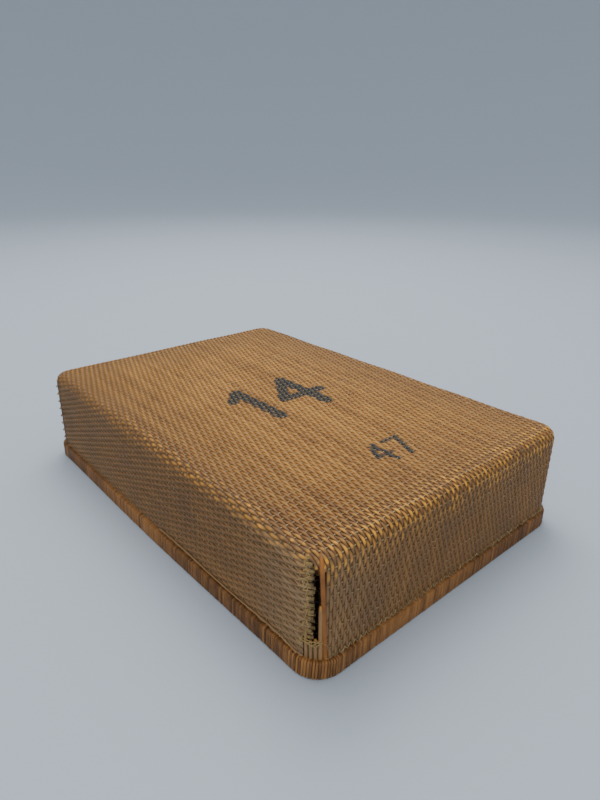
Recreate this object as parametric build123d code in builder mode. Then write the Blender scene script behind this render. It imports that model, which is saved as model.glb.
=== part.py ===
from build123d import *

import math
import os

# A woven willow storage box in two trays. The base stands open side up, and the lid, a deeper
# and wider tray turned over, slides down over it until its rim reaches the table.
# Millimetres, +Z up. The origin is on the table, under the middle of the box. X runs along the
# long sides, the front is at -Y, and the right end is at +X.
#
# Each tray is folded from one sheet of parallel willow rods crossed by hemp threads. The long
# rods run over the flat face and down both ends. The shorter rods of the two sides stop at the
# upright corners, where a hemp cord laces them to the ends. The open edge is held between two
# bent bamboo strips, and a split cane binding is wound over both.

# Lid: outside faces of the woven walls
lid_length = 450.0
lid_width = 306.0
lid_height = 100.0
lid_fold_radius = 10.0
lid_corner_radius = 20.0

# Woven sheet: one layer of willow rods with their threads
sheet = 3.6

# Rim, the same on both trays
strip_thickness = 2.0
strip_height = 14.0
binding = 0.8
binding_round = 1.2
scarf_length = 24.0
scarf_gap = 0.3

# How the trays fit
rim_clearance = 1.0
seat_gap = 0.3
base_fold_radius = 7.5

# Upright corner seams and their lacing
seam_angle = 54.0
seam_gap = 0.8
cord_diameter = 1.0
cord_clearance = 0.15
stitch_reach = 3.6
stitch_pitch = 9.0
lacing_margin = 5.0
knot_diameter = 2.6

# Hem thread that locks the rod ends above the rim, on both ends
hem_diameter = 1.2
hem_clearance = 0.05
hem_end_gap = 3.0

# Torn front right corner of the lid
tear_angle = 30.0
notch_angle = 74.0
notch_height = 34.0
snapped_rod_diameter = 3.0
snapped_rod_pitch = 3.2
tall_rod_top = 66.0
short_rod_drops = [4.0, 1.0, 2.5, 1.5, 3.0]

# Worked out from the sizes above
rim_depth = strip_thickness + binding
rim_height = strip_height + 2 * binding
base_inset = sheet + rim_depth + rim_clearance + rim_depth
base_length = lid_length - 2 * base_inset
base_width = lid_width - 2 * base_inset
inner_fold = lid_fold_radius - sheet
fold_reach = max(inner_fold - rim_depth - rim_clearance, 0.0)
fold_drop = inner_fold - math.sqrt(inner_fold**2 - fold_reach**2)
base_height = lid_height - sheet - fold_drop - seat_gap
base_corner_radius = lid_corner_radius - base_inset


class Tray:
    """Sizes of one tray: its closed flat face, its open edge, and the way from one to the other."""

    def __init__(self, name, length, width, corner, fold, closed_z, open_z):
        self.name = name
        self.length = length
        self.width = width
        self.corner = corner
        self.fold = min(fold, corner - seam_gap)
        self.closed_z = closed_z
        self.open_z = open_z
        self.way = 1 if open_z > closed_z else -1
        self.fold_z = closed_z + self.way * self.fold
        self.sheet_z = open_z - self.way * binding
        self.rim_z = open_z - self.way * rim_height
        self.centre_x = length / 2 - corner
        self.centre_y = width / 2 - corner

    def corner_point(self, radius, angle, z=0.0, side_x=1, side_y=-1):
        """A point around an upright corner, by its angle from the X axis."""
        turn = math.radians(angle)
        return (
            side_x * (self.centre_x + radius * math.cos(turn)),
            side_y * (self.centre_y + radius * math.sin(turn)),
            z,
        )


lid = Tray("lid", lid_length, lid_width, lid_corner_radius, lid_fold_radius, lid_height, 0.0)
base = Tray("base", base_length, base_width, base_corner_radius, base_fold_radius, 0.0, base_height)


def save(part, name):
    """Labels a finished piece and writes it as one node."""
    part.label = name
    export_step(part, f"parts/{name}.step")


def folded_form(tray, inset):
    """A tray's rounded form, filled in, with its walls and its flat face moved in by inset."""
    with BuildPart() as form:
        with BuildSketch(Plane.XY.offset(tray.closed_z + tray.way * inset)):
            RectangleRounded(tray.length - 2 * inset, tray.width - 2 * inset, tray.corner - inset)
        extrude(amount=tray.sheet_z - tray.closed_z - tray.way * inset)
        closed_face, *_ = form.faces().sort_by(Axis.Z, reverse=tray.way < 0)
        fillet(closed_face.edges(), tray.fold - inset)
    return form.part


def folded_sheet(tray):
    """The whole woven sheet of a tray, folded up and not yet parted at its corner seams."""
    with BuildPart() as folded:
        add(folded_form(tray, 0.0))
        add(folded_form(tray, sheet), mode=Mode.SUBTRACT)
    return folded.part


def side_outline(tray, side_y, spread):
    """Plan of a side flap between its two seams, with each seam moved outwards by spread."""
    inside = tray.corner - 2 * sheet
    outside = tray.corner + 2 * sheet
    turn = math.radians(seam_angle)
    across = (spread * math.sin(turn), side_y * -spread * math.cos(turn))
    points = []
    for side_x, radii in ((1, (inside, outside)), (-1, (outside, inside))):
        for radius in radii:
            x, y, _ = tray.corner_point(radius, seam_angle, 0.0, side_x, side_y)
            points.append((x + side_x * across[0], y + across[1]))
    return points


def wedge_outline(tray, low_angle, high_angle):
    """Plan of a sector of the front right corner's wall, between two angles."""
    inside = tray.corner - 2 * sheet
    outside = 2 * tray.corner
    corners = ((inside, low_angle), (outside, low_angle), (outside, high_angle), (inside, high_angle))
    return [tray.corner_point(radius, angle)[:2] for radius, angle in corners]


def stitch_heights(tray):
    """Heights of the lacing holes, evenly spaced from the rim to the fold."""
    start = tray.rim_z - tray.way * lacing_margin
    end = tray.fold_z + tray.way * lacing_margin
    count = int(abs(end - start) / stitch_pitch) + 1
    return [start - tray.way * stitch_pitch * index for index in range(count)]


def stitch_half_angle(tray):
    """Angle from the seam to each row of lacing holes."""
    return math.degrees(stitch_reach / (tray.corner - sheet / 2))


def lacing_holes(tray, side_x, side_y, angle):
    """One row of round bars, square through the wall at an upright corner, to cut its holes."""
    with BuildPart() as bars:
        for z in lacing_rows(tray, side_x, side_y):
            middle = Vector(*tray.corner_point(tray.corner - sheet / 2, angle, z, side_x, side_y))
            outwards = Vector(*tray.corner_point(tray.corner, angle, z, side_x, side_y)) - middle
            with Locations(Plane(origin=middle, z_dir=outwards)):
                Cylinder(cord_diameter / 2 + cord_clearance, 2 * sheet)
    return bars.part


def torn(tray, side_x, side_y):
    return tray is lid and side_x > 0 and side_y < 0


def lacing_rows(tray, side_x, side_y):
    """Heights laced at one corner, of which a torn corner has none."""
    return [] if torn(tray, side_x, side_y) else stitch_heights(tray)


def long_panel(tray, folded, name):
    """Long rods: the flat face, both ends, and the ends' turn round the upright corners."""
    fold_run = tray.fold_z - tray.open_z
    row = seam_angle - stitch_half_angle(tray)
    laced = [(x, y) for x in (-1, 1) for y in (-1, 1) if lacing_rows(tray, x, y)]
    holes = [lacing_holes(tray, x, y, row) for x, y in laced]
    with BuildPart() as panel:
        add(folded)
        for side_y in (-1, 1):
            with BuildSketch(Plane.XY.offset(tray.open_z)):
                Polygon(*side_outline(tray, side_y, seam_gap / 2), align=None)
            extrude(amount=fold_run, mode=Mode.SUBTRACT)
        add(holes, mode=Mode.SUBTRACT)
        if tray is lid:
            with BuildSketch(Plane.XY.offset(tray.open_z)):
                Polygon(*wedge_outline(tray, tear_angle, seam_angle), align=None)
            extrude(amount=fold_run, mode=Mode.SUBTRACT)
    save(panel.part, name)


def side_panel(tray, folded, side_y, name):
    """Short rods of one long side, from the fold to the rim and between two corner seams."""
    row = seam_angle + stitch_half_angle(tray)
    laced = [x for x in (-1, 1) if lacing_rows(tray, x, side_y)]
    holes = [lacing_holes(tray, x, side_y, row) for x in laced]
    with BuildPart() as panel:
        add(folded)
        with BuildSketch(Plane.XY.offset(tray.open_z)):
            Polygon(*side_outline(tray, side_y, -seam_gap / 2), align=None)
        extrude(amount=tray.fold_z - tray.open_z, mode=Mode.INTERSECT)
        add(holes, mode=Mode.SUBTRACT)
        if torn(tray, 1, side_y):
            with BuildSketch(Plane.XY.offset(tray.open_z)):
                Polygon(*wedge_outline(tray, seam_angle, notch_angle), align=None)
            extrude(amount=notch_height, mode=Mode.SUBTRACT)
    save(panel.part, name)


def lacing(tray, side_x, side_y, name):
    """One hemp cord: out through the side, across the seam, in through the end, and back inside."""
    radius = cord_diameter / 2
    half_angle = stitch_half_angle(tray)
    spread = math.cos(math.radians(half_angle))
    outside = (tray.corner + radius + cord_clearance) / spread
    inside = tray.corner - sheet - radius - cord_clearance
    knot = tray.corner - sheet - knot_diameter / 2 - cord_clearance
    side_row = seam_angle + half_angle
    end_row = seam_angle - half_angle
    route = []
    for z in lacing_rows(tray, side_x, side_y):
        for reach, angle in ((inside, side_row), (outside, side_row), (outside, end_row), (inside, end_row)):
            route.append(tray.corner_point(reach, angle, z, side_x, side_y))
    route[0] = tray.corner_point(knot, side_row, route[0][2], side_x, side_y)
    route[-1] = tray.corner_point(knot, end_row, route[-1][2], side_x, side_y)
    with BuildPart() as cord:
        with BuildLine() as path:
            FilletPolyline(*route, radius=radius + cord_clearance)
        with BuildSketch(path.line ^ 0):
            Circle(radius)
        sweep()
        with Locations(route[0], route[-1]):
            Sphere(knot_diameter / 2)
    save(cord.part, name)


def ring(length, width, corner, outwards, inwards):
    """Sketch of a band that follows the wall, from outwards of its outer face to inwards of it."""
    RectangleRounded(length + 2 * outwards, width + 2 * outwards, corner + outwards)
    RectangleRounded(length - 2 * inwards, width - 2 * inwards, corner - inwards, mode=Mode.SUBTRACT)


def rim_strip(tray, outwards, inwards, side_y, name):
    """A bamboo strip bent round the open edge, its ends pared and lapped in the middle of a side."""
    middle_y = side_y * (tray.width / 2 + (outwards - inwards) / 2)
    lap_angle = math.degrees(math.atan2(strip_thickness, scarf_length))
    with BuildPart() as strip:
        with BuildSketch(Plane.XY.offset(tray.sheet_z)):
            ring(tray.length, tray.width, tray.corner, outwards, inwards)
        extrude(amount=-tray.way * strip_height)
        with Locations(Location((0, middle_y, tray.sheet_z), (0, 0, lap_angle))):
            Box(2 * scarf_length, scarf_gap, 4 * strip_height, mode=Mode.SUBTRACT)
    save(strip.part, name)


def rim_binding(tray, name):
    """The split cane wound over both strips and the sheet's edge, as one closed channel."""
    with BuildPart() as wound:
        with BuildSketch(Plane.XY.offset(tray.open_z)):
            ring(tray.length, tray.width, tray.corner, rim_depth, sheet + rim_depth)
        extrude(amount=-tray.way * rim_height)
        fillet(wound.faces().filter_by(Axis.Z).edges(), binding_round)
        with BuildSketch(Plane.XY.offset(tray.sheet_z)):
            ring(tray.length, tray.width, tray.corner, strip_thickness, sheet + strip_thickness)
        extrude(amount=-tray.way * strip_height, mode=Mode.SUBTRACT)
        with BuildSketch(Plane.XY.offset(tray.sheet_z)):
            ring(tray.length, tray.width, tray.corner, 0.0, sheet)
        extrude(amount=-tray.way * rim_height, mode=Mode.SUBTRACT)
    save(wound.part, name)


def hem_thread(tray, side_x, name):
    """A twisted hemp thread along one end, on the wall and against the rim."""
    reach = tray.corner + hem_diameter / 2 + hem_clearance
    z = tray.rim_z - tray.way * (hem_diameter / 2 + hem_clearance)
    full_turn = seam_angle - hem_end_gap
    front_turn = tear_angle - hem_end_gap if torn(tray, side_x, -1) else full_turn
    with BuildPart() as thread:
        with BuildLine(Plane.XY.offset(z)) as path:
            front = CenterArc((tray.centre_x, -tray.centre_y), reach, -front_turn, front_turn)
            back = CenterArc((tray.centre_x, tray.centre_y), reach, 0, full_turn)
            Line(front @ 1, back @ 0)
        with BuildSketch(path.line ^ 0):
            Circle(hem_diameter / 2)
        sweep()
        if side_x < 0:
            mirror(about=Plane.YZ, mode=Mode.REPLACE)
    save(thread.part, name)


def broken_rods(tray, name):
    """Snapped willow rods left standing in the rim at the torn corner, one solid each."""
    middle = tray.corner - sheet / 2
    step = math.degrees(snapped_rod_pitch / middle)
    with BuildPart() as rods:
        for index in range(int((notch_angle - tear_angle) / step)):
            angle = tear_angle + step * (index + 0.6)
            top = notch_height - short_rod_drops[index % len(short_rod_drops)]
            if index == 0:
                top = tall_rod_top
            with BuildSketch(Plane(tray.corner_point(middle, angle, binding))):
                Circle(snapped_rod_diameter / 2)
            extrude(amount=top - binding)
    save(rods.part, name)


os.makedirs("parts", exist_ok=True)

for tray, flat_face in ((lid, "top"), (base, "floor")):
    folded = folded_sheet(tray)
    long_panel(tray, folded, f"{tray.name}_{flat_face}_and_ends")
    for side_y, side in ((-1, "front"), (1, "back")):
        side_panel(tray, folded, side_y, f"{tray.name}_{side}_side")
        for side_x, end in ((-1, "left"), (1, "right")):
            if lacing_rows(tray, side_x, side_y):
                lacing(tray, side_x, side_y, f"{tray.name}_lacing_{side}_{end}")
    rim_strip(tray, strip_thickness, 0.0, 1, f"{tray.name}_rim_outer_strip")
    rim_strip(tray, -sheet, sheet + strip_thickness, -1, f"{tray.name}_rim_inner_strip")
    rim_binding(tray, f"{tray.name}_rim_binding")
    hem_thread(tray, -1, f"{tray.name}_hem_thread_left")
    hem_thread(tray, 1, f"{tray.name}_hem_thread_right")

broken_rods(lid, "lid_broken_rods")
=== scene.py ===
import math
import bpy
import numpy as np
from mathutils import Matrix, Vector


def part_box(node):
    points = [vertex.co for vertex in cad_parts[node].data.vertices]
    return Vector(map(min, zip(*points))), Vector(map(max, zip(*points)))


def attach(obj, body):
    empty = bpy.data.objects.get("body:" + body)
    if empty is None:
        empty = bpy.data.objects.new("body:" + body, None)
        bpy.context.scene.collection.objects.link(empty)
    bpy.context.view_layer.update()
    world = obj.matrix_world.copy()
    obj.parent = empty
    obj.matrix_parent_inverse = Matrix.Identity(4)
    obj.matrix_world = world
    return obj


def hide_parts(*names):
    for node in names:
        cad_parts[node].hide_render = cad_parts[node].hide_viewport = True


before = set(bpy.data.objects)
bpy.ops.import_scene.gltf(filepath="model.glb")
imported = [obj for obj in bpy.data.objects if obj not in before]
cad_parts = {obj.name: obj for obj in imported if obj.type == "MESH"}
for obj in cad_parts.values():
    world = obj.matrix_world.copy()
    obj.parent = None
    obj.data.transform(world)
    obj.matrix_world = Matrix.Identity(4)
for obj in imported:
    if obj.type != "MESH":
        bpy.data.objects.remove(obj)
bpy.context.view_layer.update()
mm = 0.001
chance = np.random.default_rng(11)

# One sheet of the weave: parallel willow rods, and hemp threads that go over and under them in turn
weave = {
    "sheet": 3.6 * mm,          # whole thickness
    "rodPitch": 2.7 * mm,
    "rodWidth": 2.95 * mm,
    "rodThickness": 2.3 * mm,
    "rise": 0.48 * mm,          # how far a rod swings in and out between threads
    "threadSpacing": 7.3 * mm,
    "threadRadius": 0.42 * mm,
    "seamAngle": 54.0,          # where the side's rods stop at a corner, from the X axis
    "seamGap": 0.8 * mm,
}

# The front right corner of the lid is torn: its cord is gone and the end's first rods are snapped
tear = {
    "angle": 30.0,              # the end's rods are whole up to here
    "notchAngle": 74.0,         # the side's lowest rods stop here, behind the stubs
    "notchHeight": 34.0 * mm,
    "tallStub": 61.0 * mm,
    "stubPitch": 3.2 * mm,
    "cutLength": 3.0 * mm,          # of the pale cut ends, past where the brown of the rods stops
    "stubTops": [30.0, 33.0, 31.5, 32.5, 31.0],     # millimetres, taken in turn by the short stubs
    "stubRadius": 1.5 * mm,
    "tallStubRadius": 1.75 * mm,
    "stubFoot": 0.8 * mm,           # above the floor, inside the rim
    "stubLean": 1.1 * mm,           # how far a stub's top may lean out
}


def tray(name, panel, binding, corner, fold, way):
    low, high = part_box(panel)
    rimLow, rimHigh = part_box(binding)
    return {
        "name": name,
        "length": high[0] - low[0],
        "width": high[1] - low[1],
        "closedZ": high[2] if way < 0 else low[2],
        "openZ": rimLow[2] if way < 0 else rimHigh[2],
        "rimHeight": rimHigh[2] - rimLow[2],
        "rimDepth": (rimHigh[0] - high[0]),
        "corner": corner,
        "fold": fold,
        "way": way,
        "bow": 0.0,
        "wave": 0.0,
    }


lid = tray("lid", "lid_top_and_ends", "lid_rim_binding", 20.0 * mm, 10.0 * mm, -1)
base = tray("base", "base_floor_and_ends", "base_rim_binding", 9.8 * mm, 7.5 * mm, 1)
lid["bow"] = 2.2 * mm                   # how far its front wall bows outwards
lid["wave"] = 0.25 * mm                 # how far its top rises and falls; the base is flat
for box in (lid, base):
    box["height"] = abs(box["openZ"] - box["closedZ"])
    box["middleX"] = box["length"] / 2 - box["corner"]
    box["middleY"] = box["width"] / 2 - box["corner"]
    reach = box["middleY"] + box["corner"] * math.radians(weave["seamAngle"])
    wallFoot = box["width"] / 2 - box["fold"] + box["fold"] * math.pi / 2 + box["height"] - box["fold"]
    box["longRods"] = int(reach / weave["rodPitch"])                  # on each side of the middle
    box["allRods"] = int((wallFoot - 0.8 * mm) / weave["rodPitch"])
    box["foot"] = box["middleX"] + (box["corner"] - box["fold"]) + box["fold"] * math.pi / 2
    box["foot"] += box["height"] - box["fold"] - 0.8 * mm
    box["seam"] = box["middleX"] + box["corner"] * math.radians(90 - weave["seamAngle"])
    box["seam"] -= weave["seamGap"] / 2


def bowOut(box, place, lean, drop):
    # The front wall bows outwards as a squared cosine along its length, growing down to the rim
    share = np.cos(np.clip(place[..., 0] / box["length"], -0.5, 0.5) * math.pi) ** 2
    share = share * np.clip(drop / box["height"], 0, 1) * lean * (place[..., 1] < 0)
    place[..., 1] -= box["bow"] * share
    return place


def shell(box, across, along, isLong):
    # The tray's outside as a function of two lengths on the flat sheet: across the rods and along
    # them. The edges turn as quarter circles. Past the upright corners' centres, a long rod runs on in
    # plan to the corner's outline and drops, and a side rod follows the outline at its own height.
    across, along, isLong = np.broadcast_arrays(across, along, isLong)
    a, s = np.abs(across), np.abs(along)
    r, f = box["corner"], box["fold"]
    flatY = box["width"] / 2 - f
    turn = np.clip((a - flatY) / f, 0, math.pi / 2)
    y = np.where(a < flatY, a, flatY + f * np.sin(turn))
    drop = f * (1 - np.cos(turn)) + np.maximum(a - flatY - f * math.pi / 2, 0)
    over = np.maximum(s - box["middleX"], 0)
    bend = (r - f) + f * math.pi / 2
    m = np.minimum(over, bend)
    reach = np.where(m < r - f, m, r - f + f * np.sin(np.maximum(m - (r - f), 0) / f)) / r
    startY = np.maximum(y - box["middleY"], 0)
    angle = np.minimum(np.maximum(a - box["middleY"], 0) / r, math.pi / 2)
    dx = r * np.cos(angle) * reach
    dy = startY + (r * np.sin(angle) - startY) * reach
    rho = np.hypot(dx, dy)
    t = np.clip((rho - (r - f)) / f, 0, 1)
    longDrop = f * (1 - np.sqrt(1 - t * t)) + np.maximum(over - bend, 0)
    sideReach = y - box["middleY"]
    sideTurn = over / r
    xIn = np.minimum(s, box["middleX"])
    x = xIn + np.where(isLong, dx, sideReach * np.sin(sideTurn))
    yLong = np.where(a > box["middleY"], box["middleY"] + dy, a)
    y = np.where(isLong, yLong, box["middleY"] + sideReach * np.cos(sideTurn))
    drop = np.where(isLong, longDrop, drop)
    qx = np.maximum(x - box["middleX"], 0)
    qy = np.maximum(y - box["middleY"], 0)
    q = np.maximum(np.hypot(qx, qy), 1e-9)
    lean = np.where(drop >= f - 1e-7, 1.0, np.clip((q - (r - f)) / f, 0, 1))
    sx, sy = np.sign(along), np.sign(across)
    place = np.stack([x * sx, y * sy, box["closedZ"] + box["way"] * drop], -1)
    normal = np.stack([lean * qx / q * sx, lean * qy / q * sy, -box["way"] * np.sqrt(1 - lean**2)], -1)
    place = bowOut(box, place, lean, drop)
    slow = np.sin(place[..., 0] * 31 + 1.3) * np.sin(place[..., 1] * 43 + 0.4) + np.sin(place[..., 0] * 67)
    place = place + normal * (box["wave"] * slow * np.clip(1 - drop / box["height"], 0, 1))[..., None]
    return place, normal, lean, drop


def unit(v):
    return v / np.maximum(np.linalg.norm(v, axis=-1, keepdims=True), 1e-12)


def meshFromArrays(name, verts, faces, attributes, material, caps=None):
    # Every face list is one array of equal-sized faces
    groups = [faces] + ([caps] if caps is not None else [])
    sizes = np.concatenate([np.full(len(g), g.shape[1]) for g in groups])
    loops = np.concatenate([g.ravel() for g in groups]).astype(np.int32)
    mesh = bpy.data.meshes.new(name)
    mesh.vertices.add(len(verts))
    mesh.vertices.foreach_set("co", verts.astype(np.float32).ravel())
    mesh.loops.add(len(loops))
    mesh.loops.foreach_set("vertex_index", loops)
    mesh.polygons.add(len(sizes))
    starts = np.concatenate([[0], np.cumsum(sizes)[:-1]]).astype(np.int32)
    mesh.polygons.foreach_set("loop_start", starts)
    mesh.polygons.foreach_set("use_smooth", np.ones(len(sizes), dtype=bool))
    mesh.update(calc_edges=True)
    for label, values in attributes.items():
        kind = "FLOAT" if values.ndim == 1 else "FLOAT_VECTOR"
        layer = mesh.attributes.new(label, kind, "POINT")
        layer.data.foreach_set("value" if kind == "FLOAT" else "vector", values.astype(np.float32).ravel())
    mesh.materials.append(material)
    piece = bpy.data.objects.new(name, mesh)
    bpy.context.scene.collection.objects.link(piece)
    return piece


def tubes(name, centre, side, up, halfSide, halfUp, material, attributes, corners=6, closed=False):
    # n paths of m points carry one ellipse: centre + side cos + up sin. Open tubes get end caps.
    n, m = centre.shape[:2]
    turn = np.arange(corners) / corners * 2 * math.pi
    cosine, sine = np.cos(turn), np.sin(turn)
    verts = centre[:, :, None] + (halfSide[..., None] * cosine)[..., None] * side[:, :, None]
    verts = verts + (halfUp[..., None] * sine)[..., None] * up[:, :, None]
    index = np.arange(n * m * corners).reshape(n, m, corners)
    here, there = (index, np.roll(index, -1, 1)) if closed else (index[:, :-1], index[:, 1:])
    quads = np.stack([here, np.roll(here, -1, 2), np.roll(there, -1, 2), there], -1).reshape(-1, 4)
    caps = None if closed else np.concatenate([index[:, 0, ::-1], index[:, -1]])
    first = unit(np.cross(side[0, 0], up[0, 0]))
    run = centre[0, 1] - centre[0, 0]
    if np.dot(first, run) < 0:
        quads = quads[:, ::-1]
        caps = None if caps is None else caps[:, ::-1]
    spread = {}
    for label, values in attributes.items():
        values = np.broadcast_to(values[..., None] if values.ndim == 2 else values[:, :, None], (
            (n, m, corners) if values.ndim == 2 else (n, m, corners, 3)))
        spread[label] = values.reshape(-1) if values.ndim == 3 else values.reshape(-1, 3)
    spread["crest"] = np.broadcast_to(sine, (n, m, corners)).reshape(-1)
    return meshFromArrays(name, verts.reshape(-1, 3), quads, spread, material, caps)


finishes = {
    "willow": {
        "deep": (0.040, 0.017, 0.005),
        "middle": (0.245, 0.102, 0.018),
        "light": (0.63, 0.305, 0.058),
        "polishAndHighlight": (0.95, 0.43, 0.026),
        "dirtAndShade": (0.182, 0.092, 0.036),
        "dust": (0.44, 0.305, 0.165),
        "soot": (0.030, 0.026, 0.022),
        "ink": (0.020, 0.025, 0.026),
        "roughness": 0.46,
        "shine": 0.35,
        "flankShade": 0.34,             # painted shade: how dark a rod's flanks are, between the rods
        "tintShare": 0.42,          # the rod's own tint, the grain, the stains and the painted light and shade of the weave's rise add up to the tone that the ramp turns into a colour
        "streakShare": 0.34,        # add up to the tone that the ramp turns into a colour
        "patchShare": 0.34,
        "riseLightShare": 0.20,
        "sootShare": 0.35,
    },
    "hemp": {"pale": (0.52, 0.39, 0.21), "dark": (0.085, 0.052, 0.025), "fray": (0.46, 0.32, 0.13)},
    "cane": {"deep": (0.068, 0.030, 0.011), "middle": (0.170, 0.074, 0.022), "light": (0.39, 0.178, 0.051)},
    "bamboo": {"dark": (0.16, 0.09, 0.04), "light": (0.34, 0.21, 0.10)},
    "cut": {"dark": (0.100, 0.062, 0.026), "light": (0.50, 0.35, 0.155)},
    "redRod": {"dark": (0.085, 0.030, 0.008), "light": (0.40, 0.150, 0.032)},
}


def newMaterial(name):
    material = bpy.data.materials.new(name)
    material.use_nodes = True
    tree = material.node_tree
    tree.nodes.clear()
    output = tree.nodes.new("ShaderNodeOutputMaterial")
    shader = tree.nodes.new("ShaderNodeBsdfPrincipled")
    tree.links.new(shader.outputs[0], output.inputs[0])
    return material, tree, shader


def node(tree, kind, inputs=(), **settings):
    made = tree.nodes.new(kind)
    for key, value in settings.items():
        setattr(made, key, value)
    for slot, value in dict(inputs).items():
        if hasattr(value, "links"):
            tree.links.new(value, made.inputs[slot])
        else:
            made.inputs[slot].default_value = value
    return made


def attribute(tree, name, output="Fac"):
    return node(tree, "ShaderNodeAttribute", attribute_name=name).outputs[output]


def math2(tree, operation, first, second=0.0, clamp=False):
    made = node(tree, "ShaderNodeMath", {0: first, 1: second}, operation=operation, use_clamp=clamp)
    return made.outputs[0]


def mixColour(tree, share, first, second):
    first = (*first, 1) if isinstance(first, tuple) else first
    second = (*second, 1) if isinstance(second, tuple) else second
    return node(tree, "ShaderNodeMix", {0: share, 6: first, 7: second}, data_type="RGBA").outputs[2]


def ramp(tree, value, stops):
    made = node(tree, "ShaderNodeValToRGB", {0: value})
    for extra in stops[2:]:
        made.color_ramp.elements.new(extra[0])
    for element, (place, colour) in zip(made.color_ramp.elements, sorted(stops)):
        element.position = place
        element.color = (*colour, 1)
    return made.outputs[0]


def noise(tree, vector, scale, detail=3.0, roughness=0.5):
    return node(tree, "ShaderNodeTexNoise", {
        "Vector": vector, "Scale": scale, "Detail": detail, "Roughness": roughness}).outputs[0]


def stretched(tree, vector, scale):
    return node(tree, "ShaderNodeMapping", {"Vector": vector, "Scale": scale}).outputs[0]


def willowMaterial(name, look):
    # Brown to straw by rod, with grain along it, golden polish that is partly a painted highlight,
    # painted shade on the flanks, painted shade and dirt on the walls, and ink
    material, tree, shader = newMaterial(name)
    place = node(tree, "ShaderNodeTexCoord").outputs["Object"]
    grain = attribute(tree, "grain", "Vector")
    streak = noise(tree, stretched(tree, grain, (60, 1400, 1400)), 1.0, 3.0, 0.6)
    patch = noise(tree, place, 26.0, 4.0, 0.55)
    fleck = noise(tree, place, 420.0, 2.0, 0.6)
    tone = math2(tree, "MULTIPLY", attribute(tree, "tint"), look["tintShare"])
    tone = math2(tree, "ADD", tone, math2(tree, "MULTIPLY", streak, look["streakShare"]))
    tone = math2(tree, "ADD", tone, math2(tree, "MULTIPLY", patch, look["patchShare"]))
    # Painted light and shade: a rod is lighter where it rises over a thread and darker where it dips
    tone = math2(tree, "ADD", tone, math2(tree, "MULTIPLY", attribute(tree, "rise"), look["riseLightShare"]), True)
    colour = ramp(tree, tone, [(0.26, look["deep"]), (0.52, look["middle"]), (0.86, look["light"])])
    crest = node(tree, "ShaderNodeMapRange", {0: attribute(tree, "crest"), 1: 0.25, 2: 0.86}).outputs[0]
    dirtAndShade = math2(tree, "MULTIPLY", attribute(tree, "dirtAndShade"), math2(tree, "ADD", patch, 0.36), True)
    colour = mixColour(tree, dirtAndShade, colour, look["dirtAndShade"])
    worn = math2(tree, "MULTIPLY", attribute(tree, "dust"), math2(tree, "ADD", streak, 0.35), True)
    colour = mixColour(tree, worn, colour, look["dust"])
    dusty = math2(tree, "MULTIPLY", attribute(tree, "dust"), 1.5)
    sooty = math2(tree, "SUBTRACT", dusty, math2(tree, "MULTIPLY", patch, 2.2))
    sooty = math2(tree, "MULTIPLY", sooty, 2.2, True)
    colour = mixColour(tree, math2(tree, "MULTIPLY", sooty, look["sootShare"]), colour, look["soot"])
    # Painted shade on the rods' flanks, growing away from each crest
    flankShade = math2(tree, "MULTIPLY", math2(tree, "SUBTRACT", 1.0, crest), look["flankShade"])
    colour = mixColour(tree, flankShade, colour, look["deep"])
    # Golden polish on the folds, partly a painted highlight, kept to each rod's crest
    polishAndHighlight = math2(tree, "MULTIPLY", attribute(tree, "polishAndHighlight"), math2(tree, "MULTIPLY", streak, 1.7), True)
    highlightRidge = node(tree, "ShaderNodeMapRange", {0: attribute(tree, "crest"), 1: 0.50, 2: 0.90}).outputs[0]
    colour = mixColour(tree, math2(tree, "MULTIPLY", polishAndHighlight, highlightRidge), colour, look["polishAndHighlight"])
    flecked = math2(tree, "SUBTRACT", attribute(tree, "ink"), math2(tree, "MULTIPLY", fleck, 0.30), True)
    inked = math2(tree, "MULTIPLY", flecked, 1.35, True)
    colour = mixColour(tree, inked, colour, look["ink"])
    tree.links.new(colour, shader.inputs["Base Color"])
    rough = math2(tree, "MULTIPLY_ADD", streak, 0.26)
    rough.node.inputs[2].default_value = look["roughness"] - 0.10
    rough = math2(tree, "SUBTRACT", rough, math2(tree, "MULTIPLY", attribute(tree, "polishAndHighlight"), 0.12))
    tree.links.new(rough, shader.inputs["Roughness"])
    shader.inputs["Specular IOR Level"].default_value = look["shine"]
    bump = node(tree, "ShaderNodeBump", {"Strength": 0.5, "Distance": 0.0004, "Height": streak})
    tree.links.new(bump.outputs[0], shader.inputs["Normal"])
    return material


def fibreMaterial(name, stops, grainScale, roughness, bumpDistance, tintShare):
    # Streaks along the strand, on its own length and turn, with a tint for each strand
    material, tree, shader = newMaterial(name)
    place = node(tree, "ShaderNodeTexCoord").outputs["Object"]
    streak = noise(tree, stretched(tree, attribute(tree, "grain", "Vector"), grainScale), 1.0, 3.0, 0.6)
    patch = noise(tree, place, 70.0, 3.0, 0.5)
    tone = math2(tree, "MULTIPLY", attribute(tree, "tint"), tintShare)
    tone = math2(tree, "ADD", tone, math2(tree, "MULTIPLY", streak, 0.5))
    tone = math2(tree, "ADD", tone, math2(tree, "MULTIPLY", patch, 0.4 - tintShare / 4), True)
    tree.links.new(ramp(tree, tone, stops), shader.inputs["Base Color"])
    shader.inputs["Roughness"].default_value = roughness
    shader.inputs["Specular IOR Level"].default_value = 0.3
    bump = node(tree, "ShaderNodeBump", {"Strength": 0.6, "Distance": bumpDistance, "Height": streak})
    tree.links.new(bump.outputs[0], shader.inputs["Normal"])
    return material


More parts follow.
